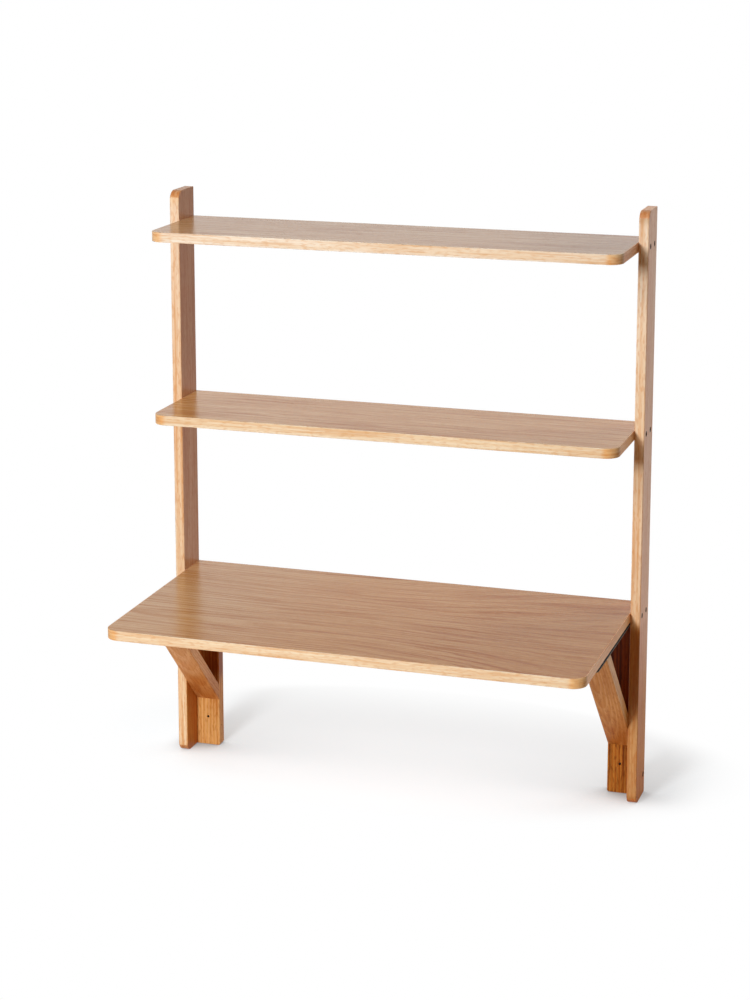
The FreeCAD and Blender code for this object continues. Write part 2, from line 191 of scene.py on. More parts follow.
# %% Paint
class Paint(Wiring):
    """One material, with what a finish is made of: places, noise, zones, colours and relief."""

    def __init__(self, name):
        self.material = bpy.data.materials.new(name)
        super().__init__(self.material)

    def place(self, source="Object"):
        """Coordinates on the piece: the object's own, or those of a map by its name."""
        if source == "Object":
            return self.node("ShaderNodeTexCoord", output=source)
        return self.node("ShaderNodeUVMap", {"uv_map": source})

    def noise(self, place, scale=1.0, detail=2.0, roughness=0.5):
        """Soft noise from 0 to 1."""
        return self.node("ShaderNodeTexNoise", inputs={
            "Vector": place, "Scale": scale, "Detail": detail, "Roughness": roughness})

    def stretched(self, place, factors, offset=(0, 0, 0), turn=(0, 0, 0)):
        """Coordinates multiplied by factors, then turned, then moved by an offset."""
        return self.node("ShaderNodeMapping", {"vector_type": "POINT"}, {
            "Vector": place, "Location": offset, "Rotation": turn, "Scale": factors})

    def zone(self, place, limits):
        """A mask from 0 to 1: the product of S curves, each along one axis between two levels."""
        mask, *others = (self.axis(place, axis).smooth(first, second) for axis, first, second in limits)
        for other in others:
            mask = mask * other
        return mask

    def blend(self, amount, first, second, kind="MIX"):
        """Two colours mixed by an amount, or multiplied where the kind is MULTIPLY.

        A Mix node names its sockets for numbers, vectors and colours alike, so those for colours go by
        their place in the list.
        """
        first, second = (value if isinstance(value, Wire) else (*value, 1) for value in (first, second))
        return self.node("ShaderNodeMix", {"data_type": "RGBA", "blend_type": kind},
                         {0: amount, 6: first, 7: second}, output=2)

    def relief(self, strength, height, level):
        """A bump of a height in metres, from a level between 0 and 1."""
        return self.node("ShaderNodeBump", inputs={"Strength": strength, "Distance": height, "Height": level})

    def finish(self, surface=None, **sockets):
        """The material, with a surface on its output: a given one, or a Principled one.

        A Principled surface's sockets are named with _ for a space.
        """
        if surface is None:
            surface = self.node("ShaderNodeBsdfPrincipled", inputs={
                name.replace("_", " "): value for name, value in sockets.items()})
        self.node("ShaderNodeOutputMaterial", inputs={"Surface": surface})
        return self.material


print("paint adds", ", ".join(name for name in vars(Paint) if not name.startswith("_")))


# %% Colours
def srgb(red, green, blue):
    """A colour in the eight-bit numbers of an image, as the linear numbers that a shader takes.

    A part up to 0.04045 is divided by 12.92, and a larger one is ((part + 0.055) / 1.055) to the power 2.4.
    """
    parts = np.array([red, green, blue]) / 255
    return tuple(np.where(parts <= 0.04045, parts / 12.92, ((parts + 0.055) / 1.055) ** 2.4).tolist())


def tinted(tones, tint):
    """Each of a wood's tones multiplied by a tint."""
    return [tuple(np.multiply(tone, tint).tolist()) for tone in tones]


def dress(name, finish):
    """Give one of the packed model's own pieces its finish."""
    nodes[name].material_slots[0].material = finish


print("pale oak as a shader takes it:", [round(part, 3) for part in srgb(228, 190, 148)])


# %% [markdown]
# ## Growth rings
# Sawn oak shows its growth rings, as straight stripes or as pointed arches, depending on how the board
# was cut from the log. A wave texture could draw stripes, but it draws the same ones on every face. Here
# the rings are real ones: cylinders round a pith that lies outside the board and leans a little, cut
# wherever the board's surface happens to be. So arches come by themselves, and faces agree at an edge.

# %% Growth rings
BEND = (1.1, 6, 6)                    # changes in a metre along, across and through the grain
RIPPLE = (6, 40, 40)
RIPPLE_SHARE = 0.25                   # of the bend's sway
RING_DARKENS = (0.10, 0.70)           # parts of a ring's width
RING_ENDS = (0.84, 1.0)


def growth_rings(paint, grain, bend, pith, lean, tilt, rings, sway):
    """How dark the rings are, from 0 to 1.

    The radius is the distance from the pith, a line that moves by lean and tilt for each metre along the
    grain. The radius times the number of rings in a metre, swayed by noise, counts the rings. What is
    left above the whole number is the place in one ring, which darkens slowly and ends at once.
    """
    along, across, through = (paint.axis(grain, name) for name in "XYZ")
    ripple = paint.noise(paint.stretched(grain, RIPPLE))
    side = across - pith[0] + along * lean
    height = through - pith[1] + along * tilt
    radius = (side * side + height * height).root()
    phase = (radius * rings + bend * sway + ripple * (RIPPLE_SHARE * sway)).fraction()
    return phase.smooth(*RING_DARKENS) * (1 - phase.smooth(*RING_ENDS))


print(f"rings darken over {RING_DARKENS[1] - RING_DARKENS[0]:.0%} of their width")


# %% [markdown]
# ## Marks in the grain
# Over the rings lie the marks that tell oak from other woods: open pores, streaks, short flecks, and
# broad bands and clouds of deeper tone. Each is soft noise, drawn out along the grain and squeezed
# across it. Straight noise looks printed, because in a real board the marks run beside the rings. So
# their coordinates are first pushed sideways by the same slow noise that bends the rings, and on the
# desk top they also spread like a fan, as grain does near where a branch left the trunk.

# %% Marks in the grain
# Each mark: its changes in a metre along, across and through the grain, the detail and the roughness of
# its noise, and the levels between which it comes in.
MARKS = {
    "pores": ((30, 900, 900), 2, 0.5, (0.52, 0.70)),
    "band": ((1.6, 45, 45), 3, 0.5, (0.32, 0.70)),
    "cloud": ((2.0, 8, 8), 2, 0.5, (0.25, 0.75)),
    "figure": ((3.6, 110, 110), 4, 0.6, (0.48, 0.66)),
    "fleck": ((70, 340, 340), 1, 0.5, (0.50, 0.68)),
}
STREAK, STREAK_DETAIL, STREAK_ROUGHNESS = (5, 190, 190), 4, 0.62


def flowing(paint, grain, bend, swing, fan):
    """Coordinates whose lines swing from side to side, and spread where there is a fan.

    The shift across the grain is (bend - half) times swing. A fan of (middle, start, end, spread) takes
    (across - middle) times spread from it, which comes in between start and end along the grain.
    """
    shift = (bend - 0.5) * swing
    if fan:
        middle, start, end, spread = fan
        opening = paint.axis(grain, "X").smooth(start, end) * spread
        shift = shift - (paint.axis(grain, "Y") - middle) * opening
    push = paint.node("ShaderNodeCombineXYZ", inputs={"Y": shift})
    return paint.node("ShaderNodeVectorMath", {"operation": "ADD"}, {0: grain, 1: push})


def mark(paint, flow, kind):
    """Where a mark shows, from 0 to 1: its stretched noise, through an S curve between its levels."""
    changes, detail, roughness, levels = MARKS[kind]
    return paint.noise(paint.stretched(flow, changes), detail=detail, roughness=roughness).smooth(*levels)


print("marks:", ", ".join(MARKS))


# %% [markdown]
# ## Lacquered oak
# The wood has a thin satin lacquer, which shines on the dense wood and sinks into the open marks. One
# even gloss over everything looks like plastic. So the wood itself hardly shines, a coat does, and the
# marks take part of the coat away.
#
# A colour is built in layers: rings, bands and clouds carry the pale tone to the middle one, and the
# marks carry that to the deep one. Zones then multiply it inside soft limits. They stand for what one
# recipe can't give: deeper end grain, and painted light and shade, such as a paler front edge and
# painted shade below the desk.

# %% Lacquered oak
BAND_TONE, CLOUD_TONE = 0.30, 0.15    # shares of the way to the middle tone
PORE_TONE, LATE_PORE_TONE = 0.14, 0.24
STREAK_DARKENS = (0.46, 0.66)         # levels of the streak's noise
STREAK_OPENS = (0.44, 0.64)
OPENNESS = {"streak": 0.5, "figure": 0.3, "fleck": 0.2}
HOLLOWS = {"pores": 0.7, "streak": 0.3}
WOOD_RELIEF = (0.35, 0.0004)          # its strength and height
PORE_ROUGHNESS, LATE_SMOOTHNESS = 0.12, 0.04
LACQUER_INDEX = 1.45
DULLING = 0.85                        # of the coat that a dull zone loses


def oak(name, tones, turn=(0, 0, 0), offset=(0, 0, 0), source="Object",
        pith=(0.06, 0.10), lean=0.06, tilt=0.0, rings=110.0, sway=4.0, wander=0.5, fan=None,
        ring_depth=0.6, streak_depth=0.5, figure_depth=0.2, fleck_depth=0.45, zones=(),
        roughness=0.40, gloss=1.12, coat=0.35, sheen_loss=0.5, dull=None):
    """Oak whose grain runs along X once its coordinates are turned.

    tones: the pale, the middle and the deep colour.
    source, turn, offset: where the coordinates come from, and how they are turned and moved.
    pith, lean, tilt: where the pith passes, and how far it moves for each metre along the grain.
    rings, sway: their number in a metre, and by how many of them noise sways them.
    wander, fan: how far the marks follow that sway, and where they spread.
    ring_depth, streak_depth, figure_depth, fleck_depth: how strongly each of them shows.
    zones: pairs of limits and a colour that the oak is multiplied by inside them.
    roughness, gloss: the wood's own roughness and index of refraction.
    coat, sheen_loss, dull: how much lacquer shines, the share that open wood loses, and a duller zone.
    """
    paint = Paint(name)
    pale, middle, deep = tones
    place = paint.place(source)
    grain = paint.stretched(place, (1, 1, 1), offset, turn)
    bend = paint.noise(paint.stretched(grain, BEND), detail=3)
    late = growth_rings(paint, grain, bend, pith, lean, tilt, rings, sway)
    flow = flowing(paint, grain, bend, wander * sway / rings, fan)
    streak = paint.noise(paint.stretched(flow, STREAK), detail=STREAK_DETAIL, roughness=STREAK_ROUGHNESS)
    pores, band, cloud, figure, fleck = (mark(paint, flow, kind) for kind in MARKS)

    colour = paint.blend(late * ring_depth + band * BAND_TONE + cloud * CLOUD_TONE, pale, middle)
    for amount in (streak.smooth(*STREAK_DARKENS) * streak_depth, figure * figure_depth,
                   fleck * fleck_depth, pores * (PORE_TONE + LATE_PORE_TONE * late)):
        colour = paint.blend(amount, colour, deep)
    for limits, tint in zones:
        colour = paint.blend(paint.zone(place, limits), colour, paint.blend(1.0, colour, tint, "MULTIPLY"))

    surface = 1 - pores * HOLLOWS["pores"] - streak * HOLLOWS["streak"]
    bare = (streak.smooth(*STREAK_OPENS) * OPENNESS["streak"] + figure * OPENNESS["figure"]
            + fleck * OPENNESS["fleck"])
    shine = coat - bare * (coat * sheen_loss)
    if dull:
        shine = shine * (1 - paint.zone(place, dull) * DULLING)
    return paint.finish(Base_Color=colour,
                        Roughness=roughness + pores * PORE_ROUGHNESS - late * LATE_SMOOTHNESS,
                        Normal=paint.relief(*WOOD_RELIEF, surface), IOR=gloss,
                        Coat_Weight=shine, Coat_IOR=LACQUER_INDEX, Coat_Roughness=roughness)


print("oak recipe ready")


# %% [markdown]
# ## Uprights
# Each upright is one plank with its narrow side to the room and its two front corners rounded. One
# finish would give all its faces one tone, and a material for each face would break the grain at every
# arris. So one oak runs through the plank, and zones tint it. The round corners show deeper end grain.
# The other zones are painted light and shade: the front edge paler than the faces, most of all high up,
# the faces lit or shaded, and painted shade below the desk top, at the feet and where the desk and
# bracket cast a shadow on the right upright.

# %% Uprights
UPRIGHT_GRAIN = (0, math.pi / 2, 0)   # turns the height of the desk onto the grain's X
UPRIGHT_TONES = (srgb(236, 213, 182), srgb(228, 190, 148), srgb(208, 144, 86))
# A limit of a zone is an axis, the level where the zone begins, and the level where it is full.
FRONT = -0.073
FRONT_EDGE = ("Y", FRONT + 0.0014, FRONT + 0.0006)
FACES = ("Y", FRONT + 0.0006, FRONT + 0.0014)
LEFT_INNER_FACE = ("X", -0.4330, -0.4322)
RIGHT_OUTER_FACE = ("X", 0.4492, 0.4498)
LOWER_OUTER_FACE = [("Z", 0.30, 0.10), RIGHT_OUTER_FACE]
ROUND_CORNERS = ("Y", -0.054, -0.060)
HEAD = [ROUND_CORNERS, ("Z", 1.006, 1.030)]
FOOT = [ROUND_CORNERS, ("Z", -0.036, -0.044)]
# Painted light: the front edge paler high up, where the lamps light it more.
PAINTED_LIGHT_UPPER_FRONT = ([("Z", 0.60, 0.95), FRONT_EDGE], (1.0, 1.08, 1.22))
UPRIGHTS = {
    # Left: the faces behind the front edge darker, the inner face darker below the desk and high up, and the
    # front edge paler below the desk: painted light and shade. The head's tint is deeper end grain; the
    # foot's is deeper end grain and painted shade.
    "left": dict(offset=(0.3, 0.02, 0.4), zones=[
        ([FACES], (0.78, 0.58, 0.44)),
        ([("Z", 0.30, 0.27), LEFT_INNER_FACE], (0.95, 0.75, 0.34)),
        ([("Z", 0.45, 0.80), LEFT_INNER_FACE], (0.87, 0.78, 0.69)),
        ([("Z", 0.30, 0.27), FRONT_EDGE], (1.10, 1.18, 1.22)),
        PAINTED_LIGHT_UPPER_FRONT, (HEAD, (1.0, 0.90, 0.74)), (FOOT, (0.96, 0.92, 0.84))]),
    # Right: the faces warmer and the front edge paler above the desk, painted light; the whole upright deeper
    # below the desk, the foot darker, a painted shadow of the desk and bracket on the front edge, and the
    # lower outer face darker, painted shade. The head's tint is deeper end grain; the foot's is deeper end
    # grain and painted shade.
    "right": dict(offset=(1.7, 0.01, 0.9), gloss=1.06, coat=0.52, dull=LOWER_OUTER_FACE, zones=[
        ([FACES], (1.12, 0.91, 0.80)),
        ([("Z", 0.295, 0.270)], (0.86, 0.69, 0.46)),
        ([("Z", 0.30, 0.40), FRONT_EDGE], (1.03, 1.07, 1.12)),
        ([("Z", 0.05, -0.03)], (0.92, 0.84, 0.76)),
        ([("Z", 0.09, 0.15), ("Z", 0.295, 0.270), FRONT_EDGE], (0.64, 0.48, 0.30)),
        (LOWER_OUTER_FACE, (0.86, 0.79, 0.54)),
        PAINTED_LIGHT_UPPER_FRONT, (HEAD, (0.72, 0.62, 0.50)), (FOOT, (0.86, 0.80, 0.68))]),
}
for side, look in UPRIGHTS.items():
    dress(f"{side}_upright", oak(f"{side}_upright_oak", UPRIGHT_TONES, turn=UPRIGHT_GRAIN,
                                 pith=(0.05, 0.13), lean=0.02, streak_depth=0.62, roughness=0.34, **look))
print("uprights finished:", ", ".join(UPRIGHTS))


# %% [markdown]
# ## Boards
# The two shelves and the desk top are veneered boards, so their grain is that of a wide thin sheet. On
# the shelves it runs nearly straight, and on the desk top it swings and fans out to one side. The
# lacquer is thicker here than on the solid wood. A stripe texture could give the shelves their grain but
# not the desk's, so the same oak recipe makes all three, with the pith farther from the surface and
# fewer rings in a metre. Zones make each board darker and warmer towards its right end: painted light,
# for a sheen that is brighter on the left.

# %% Boards
BOARD_TONES = (srgb(208, 168, 122), srgb(198, 148, 90), srgb(169, 104, 46))
SHELF_MARKS = dict(ring_depth=0.8, streak_depth=0.9, figure_depth=0.45, wander=0.7)
# Each board's zones make it darker and warmer towards its right end: painted light, for a sheen that is
# brighter on the left.
VENEERS = {
    "top_shelf": dict(
        tones=BOARD_TONES, pith=(0.30, 0.35), coat=0.50, **SHELF_MARKS,
        zones=[([("X", 0.15, 0.40)], (0.78, 0.76, 0.74))]),
    "middle_shelf": dict(
        tones=tinted(BOARD_TONES, (1.10, 1.05, 0.86)), pith=(0.24, 0.72), coat=0.62, **SHELF_MARKS,
        zones=[([("X", -0.20, 0.10)], (0.98, 0.95, 0.84))]),
    "desk_top": dict(
        tones=BOARD_TONES, pith=(0.06, 0.36), coat=0.62, ring_depth=0.6, streak_depth=0.72,
        figure_depth=0.25, wander=1.6, fan=(0.17, 0.72, 1.19, 0.38),
        zones=[([("X", -0.38, -0.02)], (0.95, 0.78, 0.43)), ([("X", 0.05, 0.40)], (0.87, 0.77, 0.44))]),
}
NEXT_SHEET = (0.37, 0.19)             # from one board's part of the pattern to the next one's
for index, (board, look) in enumerate(VENEERS.items()):
    offset = (NEXT_SHEET[0] * index, NEXT_SHEET[1] * index, 0)
    dress(board, oak(f"{board}_veneer", offset=offset, lean=0.03, tilt=0.05, rings=90, sway=6,
                     fleck_depth=0.2, roughness=0.24, sheen_loss=0.7, **look))
print("boards veneered:", ", ".join(VENEERS))


# %% [markdown]
# ## Brackets
# A bracket is made of one thick oak lath: a cleat flat on the wall, beside the upright, and a brace at 45
# degrees between the cleat and the bar. Each piece has its own grain, along its own length, so the
# brace's coordinates are turned by 45 degrees. The wall screw's hole is a real one in the packed model,
# but its wall would be as bright as the face round it, so a box-shaped zone darkens it. The right
# bracket's deeper tones, the darker upper cleats and the darker brace feet are painted shade, for the
# shade under the desk top.

# %% Brackets
# The right cleat's and brace's tones are deeper than the left's: painted shade on the right bracket.
CLEAT_TONES_AND_SHADE = {
    "left": (srgb(236, 196, 136), srgb(217, 160, 88), srgb(180, 102, 32)),
    "right": (srgb(200, 138, 62), srgb(166, 91, 22), srgb(92, 33, 3)),
}
BRACE_TONES_AND_SHADE = {
    "left": (srgb(246, 208, 162), srgb(231, 180, 120), srgb(198, 125, 60)),
    "right": (srgb(236, 196, 140), srgb(218, 164, 95), srgb(184, 112, 44)),
}
BRACE_GRAIN = (math.pi / 4, 0, math.pi / 2)
BRACE_MIDDLE = 0.410                  # from the middle of the desk
HOLE_MIDDLE = 0.4085
HOLE = 0.0034                         # half a side of the box round a wall screw's hole
HOLE_DEPTH = (-0.0218, -0.0208)       # just behind the cleat's front face
HOLE_FADE = 0.0002
HOLE_SHADE = (0.06, 0.04, 0.03)
# Painted shade: the cleat's upper part, all but its back face, and the brace towards its foot.
CLEAT_PAINTED_SHADE = ([("Z", 0.06, 0.10), ("Y", -0.0006, -0.0014)], (0.46, 0.26, 0.15))
BRACE_PAINTED_SHADE = ([("Z", 0.17, 0.06)], (0.72, 0.53, 0.34))


def hole_dark(middle):
    """The zone of a drilled hole's wall, which sees hardly any light."""
    return [("Y", *HOLE_DEPTH),
            ("X", middle - HOLE - HOLE_FADE, middle - HOLE), ("X", middle + HOLE + HOLE_FADE, middle + HOLE),
            ("Z", -HOLE - HOLE_FADE, -HOLE), ("Z", HOLE + HOLE_FADE, HOLE)], HOLE_SHADE


for side, sign in (("left", -1), ("right", 1)):
    dress(f"{side}_cleat", oak(
        f"{side}_cleat_oak", CLEAT_TONES_AND_SHADE[side], turn=UPRIGHT_GRAIN, offset=(0.9 * sign, 0.02, 0.03),
        pith=(0.02, 0.05), lean=0.05, rings=150, streak_depth=0.8, coat=0.30,
        zones=[CLEAT_PAINTED_SHADE, hole_dark(HOLE_MIDDLE * sign)]))
    dress(f"{side}_brace", oak(
        f"{side}_brace_oak", BRACE_TONES_AND_SHADE[side], turn=BRACE_GRAIN, offset=(0.4 * sign, 0.03, 0.02),
        pith=(0.03 + BRACE_MIDDLE * sign, 0.095), lean=0.02, tilt=0.08, rings=210, sway=2.5,
        ring_depth=1.0, streak_depth=0.35, coat=0.30, zones=[BRACE_PAINTED_SHADE]))
print("brackets finished")


# %% [markdown]
# ## Edging
# A strip of oak runs round the two sides and the front of each board, and its grain turns the corners
# with it. A pattern in space can't do that: it would run straight through the corner. So the strip is
# made again as a section carried along the board's outline, with a map on it that says how far along and
# how high up each point is, and the oak reads that map.

# %% Board sizes
BOARDS = {                            # depth, and level of the upper face
    "top_shelf": (0.220, 0.983),
    "middle_shelf": (0.220, 0.646),
    "desk_top": (0.450, 0.309),
}
CLEAR_WIDTH = 0.864
BOARD_THICKNESS = 0.018
CORNER = 0.025
STRIP = 0.001                         # how far the strip reaches in from the outside
ARRIS = 0.0007
print("boards:", {board: f"{CLEAR_WIDTH} x {depth} m" for board, (depth, level) in BOARDS.items()})


# %% Meshes
def mesh_object(name, points, faces, map_values=None):
    """A named mesh in metres at the origin, smooth, with an optional map given for each point."""
    mesh = bpy.data.meshes.new(name)
    mesh.from_pydata(points.tolist(), [], faces.tolist())
    if map_values is not None:
        layer = mesh.uv_layers.new(name="strip")
        layer.data.foreach_set("uv", map_values[faces.ravel()].astype(np.float32).ravel())
    mesh.shade_smooth()
    made = bpy.data.objects.new(name, mesh)
    bpy.context.scene.collection.objects.link(made)
    return made


def grid_faces(rows, columns):
    """Quads of a grid of points, row by row, whose last column is joined to its first."""
    row, column = np.meshgrid(np.arange(rows - 1), np.arange(columns), indexing="ij")
    right = (column + 1) % columns
    corners = [row * columns + column, row * columns + right,
               (row + 1) * columns + right, (row + 1) * columns + column]
    return np.stack(corners, axis=-1).reshape(-1, 4)


print("a grid of 3 by 4 points has", len(grid_faces(3, 4)), "faces")


# %% Outline and section
def outline_path(width, depth, radius, straight=14, round_steps=14):
    """Points and outward normals round a board: left side, arc, front, arc, right side.

    A side is a straight run of points; a corner is centre + radius * (cos a, sin a) over a quarter turn.
    """
    half = width / 2
    side = np.linspace(0, -(depth - radius), straight, endpoint=False)
    back = side[::-1]
    front = np.linspace(-half + radius, half - radius, 4 * straight)[1:-1]
    arcs = []
    for centre, start in ((-half + radius, math.pi), (half - radius, 1.5 * math.pi)):
        angle = start + np.linspace(0, math.pi / 2, round_steps)
        out = np.stack([np.cos(angle), np.sin(angle)], 1)
        arcs.append((np.array([centre, -depth + radius]) + radius * out, out))
    runs = [(np.stack([np.full_like(side, -half), side], 1), np.tile([-1.0, 0.0], (straight, 1))),
            arcs[0],
            (np.stack([front, np.full_like(front, -depth)], 1), np.tile([0.0, -1.0], (len(front), 1))),
            arcs[1],
            (np.stack([np.full_like(back, half), back], 1), np.tile([1.0, 0.0], (straight, 1)))]
    points, normals = (np.concatenate(part) for part in zip(*runs))
    return points, normals


def strip_section(thickness, height, arris, steps=5):
    """The strip's section as (inset from the outside, height): a bar with its outer arrises rounded.

    A rounded arris is (arris - arris * sin a, arris - arris * cos a) over a quarter turn.
    """
    angle = np.linspace(0, math.pi / 2, steps)
    low = np.stack([arris - arris * np.sin(angle), arris - arris * np.cos(angle)], 1)
    high = np.stack([low[::-1, 0], height - low[::-1, 1]], 1)
    return np.concatenate([[[thickness, 0]], low, high, [[thickness, height]]])


def distances(line):
    """How far along a line of points each one is."""
    return np.concatenate([[0], np.cumsum(np.linalg.norm(np.diff(line, axis=0), axis=1))])


section = strip_section(STRIP, BOARD_THICKNESS, ARRIS)
print(f"section of {len(section)} points, {distances(section)[-1] * 1000:.1f} mm round its outside")

# %% Strip
STRIP_START = 2.3                     # each board's strip reads its own stretch of the pattern
TOGETHER = 1e-6                       # points nearer than this are one


def edging(board, index):
    """A board's strip, and the points round its two open ends.

    A point is that of the outline, moved in along its normal by the section's inset, and up by its height.
    """
    depth, surface = BOARDS[board]
    path, normals = outline_path(CLEAR_WIDTH, depth, CORNER)
    flat = path[:, None, :] - normals[:, None, :] * section[None, :, :1]
    height = np.broadcast_to(surface - BOARD_THICKNESS + section[:, 1], flat.shape[:2])
    points = np.concatenate([flat, height[..., None]], axis=2).reshape(-1, 3)
    along = distances(path) + STRIP_START * index
    map_values = np.stack(np.meshgrid(along, distances(section), indexing="ij"), axis=-1).reshape(-1, 2)
    faces = grid_faces(len(path), len(section))[:, ::-1]
    made = mesh_object(f"{board}_oak_strip", points, faces, map_values)
    ends = [list(range(len(section))), list(range(len(points) - len(section), len(points)))[::-1]]
    return made, ends


def close_shell(made, ends=()):
    """Close open ends, merge points that lie together, as at a pole, and turn every face outwards."""
    shell = bmesh.new()
    shell.from_mesh(made.data)
    shell.verts.ensure_lookup_table()
    for end in ends:
        shell.faces.new([shell.verts[i] for i in end])
    bmesh.ops.remove_doubles(shell, verts=shell.verts, dist=TOGETHER)
    bmesh.ops.recalc_face_normals(shell, faces=shell.faces)
    shell.to_mesh(made.data)
    shell.free()


print("strips read the pattern", STRIP_START, "m apart")

# %% Edging finish
STRIP_TONES = (srgb(236, 220, 197), srgb(227, 198, 162), srgb(207, 152, 98))
STRIP_TINTS = {                       # of the whole strip, and of its two sides, where the tint is painted shade and a painted orange reflection of the upright beside each side
    "top_shelf": ((0.98, 1.06, 1.17), (1.06, 0.64, 0.38)),
    "middle_shelf": ((0.99, 1.02, 1.0), (1.24, 0.92, 0.68)),
    "desk_top": ((0.98, 1.01, 1.0), (1.20, 0.90, 0.70)),
}
CORNER_TINT = (0.98, 0.75, 0.50)
FADE = 0.006                          # half the length over which a tint comes in


def strip_zones(depth, start, side_shade_and_reflection):
    """Where the strip's two sides and its two corners lie along it, with the tint of each: deeper grain at
    the corners, and painted shade and reflection on the sides.
    """
    side = depth - CORNER
    arc = CORNER * math.pi / 2
    front = CLEAR_WIDTH - 2 * CORNER
    arcs = [start + side, start + side + arc + front]
    zones = [([("X", first - FADE, first + FADE),
               ("X", first + arc + FADE, first + arc - FADE)], CORNER_TINT) for first in arcs]
    zones.append(([("X", start + side + FADE, start + side - FADE)], side_shade_and_reflection))
    zones.append(([("X", arcs[1] + arc - FADE, arcs[1] + arc + FADE)], side_shade_and_reflection))
    return zones


for index, (board, (whole_tint, side_shade_and_reflection)) in enumerate(STRIP_TINTS.items()):
    strip_finish = oak(f"{board}_edging_oak", tinted(STRIP_TONES, whole_tint), source="strip",
                       pith=(0.02, 0.03), lean=0.01, rings=240, ring_depth=0.5, streak_depth=0.6,
                       roughness=0.42, zones=strip_zones(BOARDS[board][0], STRIP_START * index, side_shade_and_reflection))
    strip, ends = edging(board, index)
    close_shell(strip, ends)
    strip.data.materials.append(strip_finish)
    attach(strip, "root")
    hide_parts(f"{board}_edging")
    print(strip.name, len(strip.data.polygons), "faces")


# %% [markdown]
# ## Metal
# The bars are flat steel under black powder coat, which is matt and very slightly pebbled. A grey band
# along their lower edge is a painted highlight, where the edge catches the light. The screws are
# blackened and duller still, and the plates let into the backs of the uprights are plated with zinc. One
# flat tone would do for so little metal, but up close it looks cut out of paper. So one recipe gives all
# three a tone that drifts a little, and a fine relief.

# %% Metal
DRIFT = 22                            # changes of tone in a metre
DRIFT_LEVELS = (0.3, 0.7)
DRIFT_TONE = 1.5                      # the palest tone, as a multiple of the deepest
COAT_RELIEF = (0.25, 0.0002)          # its strength and height
PEBBLE_ROUGHNESS = 0.18
# The grey of a painted highlight along the bars' lower edge, where it catches the light.
HIGHLIGHT_GREY = srgb(128, 122, 116)
HIGHLIGHT_LEVEL = 0.2872                   # below it the bars get a painted highlight
HIGHLIGHT_FADE = 0.0006
HIGHLIGHT_SHARE, HIGHLIGHT_MORE = 0.6, 0.4        # of the painted highlight: everywhere, and more where the tone drifts


def coated_steel(name, base, rough, metal, pebble, gloss=1.5, edge_highlight=False):
    """Metal under a coat: a tone that drifts a little, a fine relief and, if asked, a painted highlight along
    the lower edge.

    pebble is how often the relief changes in a metre.
    """
    paint = Paint(name)
    place = paint.place()
    grit = paint.noise(place, pebble, detail=3)
    drift = paint.noise(place, DRIFT, detail=3).smooth(*DRIFT_LEVELS)
    colour = paint.blend(drift, base, tuple(DRIFT_TONE * part for part in base))
    if edge_highlight:
        painted_highlight = paint.zone(place, [("Z", HIGHLIGHT_LEVEL, HIGHLIGHT_LEVEL - HIGHLIGHT_FADE)])
        colour = paint.blend(painted_highlight * (HIGHLIGHT_SHARE + HIGHLIGHT_MORE * drift), colour, HIGHLIGHT_GREY)
    return paint.finish(Base_Color=colour, Roughness=rough + grit * PEBBLE_ROUGHNESS, Metallic=metal,
                        Normal=paint.relief(*COAT_RELIEF, grit), IOR=gloss)


# The bars have the painted highlight along their lower edge.
black_coat = coated_steel("black_powder_coat", srgb(9, 7, 6), rough=0.55, metal=0.0, pebble=2200,
                          gloss=1.12, edge_highlight=True)
black_oxide = coated_steel("blackened_screw", srgb(14, 7, 4), rough=0.8, metal=0.0, pebble=1600, gloss=1.02)
zinc = coated_steel("zinc_plate", srgb(176, 180, 186), rough=0.30, metal=1.0, pebble=900)
for side in ("left", "right"):
    dress(f"{side}_support_bar", black_coat)
    dress(f"{side}_hanger_plate", zinc)
dress("hanger_plate_screws", zinc)
print("metal finished")


# %% [markdown]
# ## Screws
# The screws through the uprights have a flat head with a six-sided socket. Solids cut from one another
# would do, but a screw is a turned form, so it is also one surface of two parameters: the way round and
# the way down. The way down starts at the middle of the socket's floor, climbs its six-sided wall,
# crosses the rim and runs down the countersink and the thread to the point.

# %% Screw surface
ROUND = 48                            # points once round
SCREW = dict(head=0.0050, shank=0.0025, cone=0.0030, length=0.050)
# Rows of points: a part of the hexagon's or the head's radius, and a part of the countersink's depth.
SOCKET = ((0.0, 0.7), (0.97, 0.7), (0.99, 0.66), (1.0, 0.04), (1.04, 0.0))
RIM = ((0.95, 0.0), (1.0, 0.06), (0.99, 0.16))
THREAD_BEGINS = 0.32                  # of the length
PITCH, POINT, TIP = 0.9, 1.6, 0.2     # in radii of the shank: a turn's rise, the taper and its last row
ROWS_IN_A_TURN = 6
RIDGE, SHARPNESS = 0.26, 3


